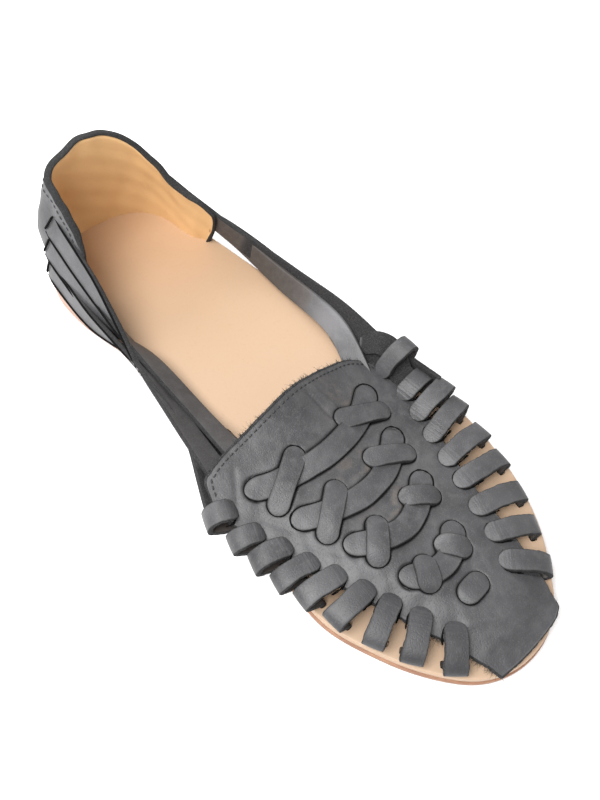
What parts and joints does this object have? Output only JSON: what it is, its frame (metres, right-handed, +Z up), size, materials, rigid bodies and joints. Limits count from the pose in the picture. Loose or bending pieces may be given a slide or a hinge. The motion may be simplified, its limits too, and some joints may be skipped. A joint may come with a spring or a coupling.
{
  "type": "huarache sandal",
  "caption": "Low woven leather slip-on sandal for the left foot, with an open heel counter, side straps, looped vamp edges and a pale footbed on a thin leather sole.",
  "frame": {"origin": "on the ground, under the middle of the heel", "axes": "+Z up, toe towards -Y, outer side of the left foot towards +X"},
  "size_m": [0.107, 0.245, 0.0637],
  "materials": {
    "outsole_leather": "dyed sole leather, satin",
    "stacked_leather": "stacked leather with a smooth pinkish tan edge",
    "footbed_leather": "smooth vegetable tan leather, pale and satin",
    "black_leather": "soft black leather with a low sheen"
  },
  "bodies": {
    "root": {"outsole": "outsole_leather", "heel_lift": "stacked_leather", "footbed": "footbed_leather", "upper": "black_leather"}
  },
  "joints": []
}
